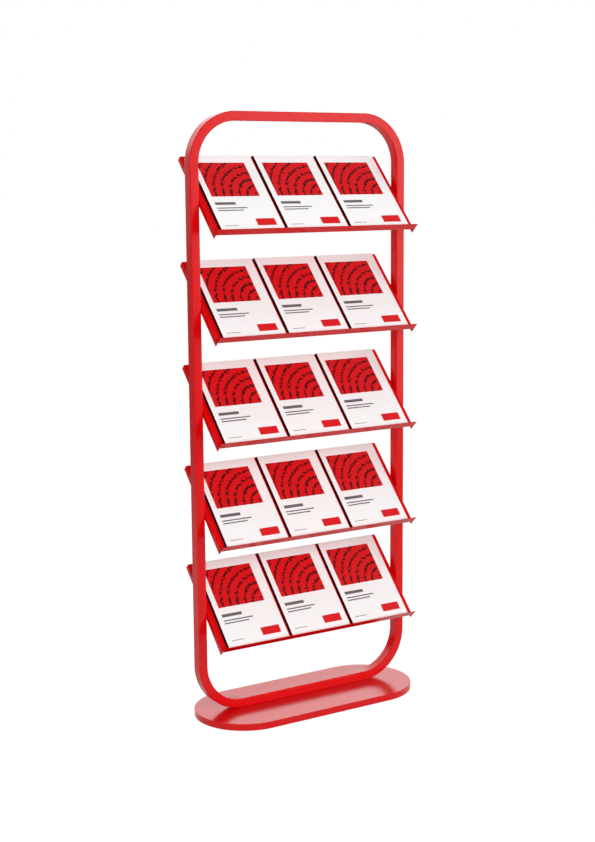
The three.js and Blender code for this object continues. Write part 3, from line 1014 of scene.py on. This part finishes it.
class RACK_OT_bolts(bpy.types.Operator):
    """Make the bolts that hold the loop down on the base"""

    bl_idname = "rack.bolts"
    bl_label = "Base bolts"

    def execute(self, context):
        sizes = context.scene.rack.fastener
        low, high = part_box(BOLTS[0])
        pattern = make_fastener(
            (high.x - low.x) / 2, sizes.bolt_head, sizes.bolt_shank, high.z - low.z, sizes
        )
        for node in BOLTS:
            low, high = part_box(node)
            place = (low + high) / 2
            place.z = low.z
            piece = copy_of(pattern, Matrix.Translation(place) @ Matrix.Rotation(math.pi, 4, "X"))
            dress(piece, node, "button_head", "zinc_steel", bright_zinc_plate)
        bpy.data.objects.remove(pattern)
        return {"FINISHED"}


# Periodicals

def make_cover(low, high, sizes):
    """The cover: one sheet folded round the spine and creased beside it, with its print as a UV map."""
    piece = new_plate(low.x, high.x, low.y, high.y, low.z)
    choose("EDGE", lambda p: at(p.x, low.x))
    extrude_edge(z=high.z - low.z)
    extrude_edge(x=high.x - low.x)
    crease = low.x + sizes.crease
    ink_end = crease - sizes.crease_half
    for x in (ink_end, crease, crease + sizes.crease_half):
        choose("FACE", lambda p: at(p.z, high.z))
        bpy.ops.mesh.bisect(plane_co=(x, 0, 0), plane_no=(1, 0, 0))
    choose("EDGE", lambda p: at(p.x, crease) and at(p.z, high.z))
    bpy.ops.transform.translate(value=(0, 0, -sizes.crease_depth))
    for z in (low.z, high.z):
        choose("EDGE", lambda p: at(p.x, low.x) and at(p.z, z))
        bevel_edges(sizes.spine, sizes.spine_steps)
    close_sheet(high.z)
    thicken(sizes.cover)
    smooth()
    mesh = piece.data
    mesh.materials.append(finish(printed_cover))
    mesh.materials.append(finish(matt_spine_ink))
    layer = mesh.uv_layers.new(name="print")
    front = high.z - sizes.cover - sizes.crease_depth
    for polygon in mesh.polygons:
        printed = polygon.center.z > front and polygon.normal.z > FACING
        # The band from the spine to the crease takes the near-black ink, which is partly print and partly painted
        # shade for the gaps.
        polygon.material_index = 1 if polygon.center.x < ink_end else 0
        for loop in polygon.loop_indices:
            point = mesh.vertices[mesh.loops[loop].vertex_index].co
            across = (point.x - low.x) / (high.x - low.x)
            up = (point.y - low.y) / (high.y - low.y)
            layer.data[loop].uv = (across, up) if printed else (0, 0)
    return piece


def make_pages(low, high, sizes):
    """The block of pages inside the cover, one cover's thickness short of the spine."""
    left = low.x + 2 * sizes.cover
    right = high.x - sizes.overhang
    bottom = low.z + sizes.cover
    piece = new_plate(left, right, low.y + sizes.overhang, high.y - sizes.overhang, bottom)
    extrude(z=high.z - sizes.cover - sizes.crease_depth - bottom)
    choose("EDGE", lambda p: at(p.x, right))
    bevel_edges(sizes.page_edge, sizes.page_steps)
    close_shape()
    smooth()
    piece.data.materials.append(finish(trimmed_pages))
    return piece


class RACK_OT_periodicals(bpy.types.Operator):
    """Make the periodicals, three on each tray, each free to slide up the slope"""

    bl_idname = "rack.periodicals"
    bl_label = "Periodicals"

    def execute(self, context):
        sizes = context.scene.rack.periodical
        start, end = slope_box(PERIODICALS[0])
        pages = make_pages(start, end, sizes)
        pattern = make_cover(start, end, sizes)
        bpy.ops.object.select_all(action="DESELECT")
        pages.select_set(True)
        pattern.select_set(True)
        bpy.context.view_layer.objects.active = pattern
        bpy.ops.object.join()
        for node in PERIODICALS:
            shift = slope_box(node)[0] - start
            piece = copy_of(pattern, FROM_SLOPE @ Matrix.Translation(shift))
            dress(piece, node, "copy", "printed_paper", body=body_of(node))
        bpy.data.objects.remove(pattern)
        return {"FINISHED"}


# Stage

def backdrop_seen(tree):
    """One for the rays that show the backdrop itself: straight from the camera, mirrored or through glass."""
    path = add(tree, "ShaderNodeLightPath").outputs
    mirrored = add(
        tree, "ShaderNodeMath", {"operation": "MAXIMUM"}, {0: path["Is Camera Ray"], 1: path["Is Glossy Ray"]}
    )
    seen = add(
        tree,
        "ShaderNodeMath",
        {"operation": "MAXIMUM"},
        {0: mirrored.outputs["Value"], 1: path["Is Transmission Ray"]},
    )
    return seen.outputs["Value"]


def pale_floor(tree, stage, colours):
    """A pale floor. It shows as white where nothing shades it, and keeps the shadow of the rack."""
    mirrored = add(tree, "ShaderNodeLightPath").outputs["Is Glossy Ray"]
    place = add(tree, "ShaderNodeTexCoord").outputs["Object"]
    far = add(tree, "ShaderNodeVectorMath", {"operation": "LENGTH"}, {0: place})
    # In reflections the floor is pale near the rack and darker farther off.
    pool = add(
        tree,
        "ShaderNodeMapRange",
        {
            "interpolation_type": "SMOOTHSTEP",
            "From Min": stage.near_end,
            "From Max": stage.far_start,
            "To Min": stage.floor_near,
            "To Max": stage.floor_far,
        },
        {"Value": far.outputs["Value"]},
    )
    level = add(
        tree, "ShaderNodeMix", {"data_type": "FLOAT", 2: 1.0}, {0: mirrored, 3: pool.outputs["Result"]}
    )
    seen = add(
        tree, "ShaderNodeMath", {"operation": "MULTIPLY"}, {0: backdrop_seen(tree), 1: level.outputs[0]}
    )
    glow = add(
        tree, "ShaderNodeMath", {"operation": "MULTIPLY", 1: stage.floor_glow}, {0: seen.outputs["Value"]}
    )
    return add(
        tree,
        "ShaderNodeBsdfPrincipled",
        {
            "Base Color": colours.floor,
            "Roughness": 0.9,
            "Specular IOR Level": 0.0,
            "Emission Color": (1, 1, 1, 1),
        },
        {"Emission Strength": glow.outputs["Value"]},
    )


def make_floor(stage, colours):
    """The floor that the rack stands on, wide enough to fill the view."""
    bpy.ops.object.select_all(action="DESELECT")
    bpy.ops.mesh.primitive_plane_add(size=stage.floor_size, location=(0, 0, 0))
    floor = bpy.context.object
    floor.name = "floor"
    floor.data.materials.append(new_material(pale_floor, stage, colours))


def make_world(stage):
    """Soft light from all round, and a white background for the camera and for reflections."""
    world = bpy.data.worlds.new("studio")
    bpy.context.scene.world = world
    world.use_nodes = True
    tree = world.node_tree
    tree.nodes.clear()
    direction = add(tree, "ShaderNodeTexCoord").outputs["Generated"]
    axes = add(tree, "ShaderNodeSeparateXYZ", {}, {"Vector": direction})
    overhead = {"interpolation_type": "SMOOTHSTEP", "From Min": CEILING[0], "From Max": CEILING[1]}
    sideways = {"interpolation_type": "SMOOTHSTEP", "From Min": SCREEN[0], "From Max": SCREEN[1]}
    # The light from all round is weaker from overhead.
    glow = add(
        tree,
        "ShaderNodeMapRange",
        {**overhead, "To Min": stage.ambient, "To Max": stage.ambient * stage.overhead},
        {"Value": axes.outputs["Z"]},
    )
    light = add(
        tree, "ShaderNodeBackground", {"Color": (1, 1, 1, 1)}, {"Strength": glow.outputs["Result"]}
    )
    # The backdrop is white. In reflections it fades towards the dark ceiling and a dark screen on the left.
    ceiling = add(
        tree,
        "ShaderNodeMapRange",
        {**overhead, "To Min": 1.0, "To Max": stage.ceiling},
        {"Value": axes.outputs["Z"]},
    )
    screen = add(
        tree,
        "ShaderNodeMapRange",
        {**sideways, "To Min": stage.screen, "To Max": 1.0},
        {"Value": axes.outputs["X"]},
    )
    shade = add(
        tree,
        "ShaderNodeMath",
        {"operation": "MULTIPLY"},
        {0: ceiling.outputs["Result"], 1: screen.outputs["Result"]},
    )
    mirrored = add(tree, "ShaderNodeLightPath").outputs["Is Glossy Ray"]
    strength = add(
        tree, "ShaderNodeMix", {"data_type": "FLOAT", 2: 1.0}, {0: mirrored, 3: shade.outputs["Value"]}
    )
    white = add(
        tree, "ShaderNodeBackground", {"Color": (1, 1, 1, 1)}, {"Strength": strength.outputs[0]}
    )
    mixed = add(
        tree,
        "ShaderNodeMixShader",
        {},
        {0: backdrop_seen(tree), 1: light.outputs["Background"], 2: white.outputs["Background"]},
    )
    add(tree, "ShaderNodeOutputWorld", {}, {"Surface": mixed.outputs["Shader"]})


def make_lamp(name, place, aim, size, unseen_by, watts):
    """A soft panel of light."""
    panel = bpy.data.lights.new(name, "AREA")
    panel.shape = "RECTANGLE"
    panel.size, panel.size_y = size
    panel.energy = watts
    lamp = bpy.data.objects.new(name, panel)
    lamp.location = place
    lamp.rotation_euler = (Vector(aim) - Vector(place)).to_track_quat("-Z", "Y").to_euler()
    for ray in unseen_by:
        setattr(lamp, "visible_" + ray, False)
    bpy.context.scene.collection.objects.link(lamp)


def make_camera(stage):
    """The camera, from its place and its turn, tilt and roll."""
    turn, tilt, roll = stage.camera_turn
    ahead = Vector((math.sin(turn) * math.cos(tilt), math.cos(turn) * math.cos(tilt), -math.sin(tilt)))
    level = Vector((math.cos(turn), -math.sin(turn), 0))
    upright = level.cross(ahead)
    right = level * math.cos(roll) + upright * math.sin(roll)
    up = upright * math.cos(roll) - level * math.sin(roll)
    lens = bpy.data.cameras.new("camera")
    lens.sensor_width = SENSOR
    lens.lens = stage.lens
    camera = bpy.data.objects.new("camera", lens)
    pose = Matrix((right, up, -ahead)).transposed().to_4x4()
    pose.translation = stage.camera_place
    camera.matrix_world = pose
    bpy.context.scene.collection.objects.link(camera)
    bpy.context.scene.camera = camera


class RACK_OT_stage(bpy.types.Operator):
    """Make the floor, the soft light and the camera"""

    bl_idname = "rack.stage"
    bl_label = "Stage"

    def execute(self, context):
        stage = context.scene.rack.stage
        make_floor(stage, context.scene.rack.colours)
        make_world(stage)
        for name, lamp in LAMPS.items():
            make_lamp(name + "_lamp", *lamp, getattr(stage, name + "_power"))
        make_camera(stage)
        context.scene.view_settings.view_transform = "Standard"
        return {"FINISHED"}


OPERATORS = (
    RACK_OT_stage,
    RACK_OT_tube_loop,
    RACK_OT_base,
    RACK_OT_underside,
    RACK_OT_trays,
    RACK_OT_screws,
    RACK_OT_bolts,
    RACK_OT_periodicals,
)


class RACK_PT_panel(bpy.types.Panel):
    """The pieces of the rack, in the order in which they are made"""

    bl_label = "Periodical display rack"
    bl_idname = "RACK_PT_panel"
    bl_space_type = "VIEW_3D"
    bl_region_type = "UI"
    bl_category = "Rack"

    def draw(self, context):
        for operator in OPERATORS:
            self.layout.operator(operator.bl_idname)


CLASSES = (
    TubeSettings,
    BaseSettings,
    TraySettings,
    FastenerSettings,
    PeriodicalSettings,
    ColourSettings,
    StageSettings,
    RackSettings,
    *OPERATORS,
    RACK_PT_panel,
)


def register():
    for cls in CLASSES:
        bpy.utils.register_class(cls)
    bpy.types.Scene.rack = PointerProperty(type=RackSettings)


def unregister():
    del bpy.types.Scene.rack
    for cls in reversed(CLASSES):
        bpy.utils.unregister_class(cls)


def main():
    register()
    for operator in OPERATORS:
        group, name = operator.bl_idname.split(".")
        getattr(getattr(bpy.ops, group), name)()


if __name__ == "__main__":
    main()
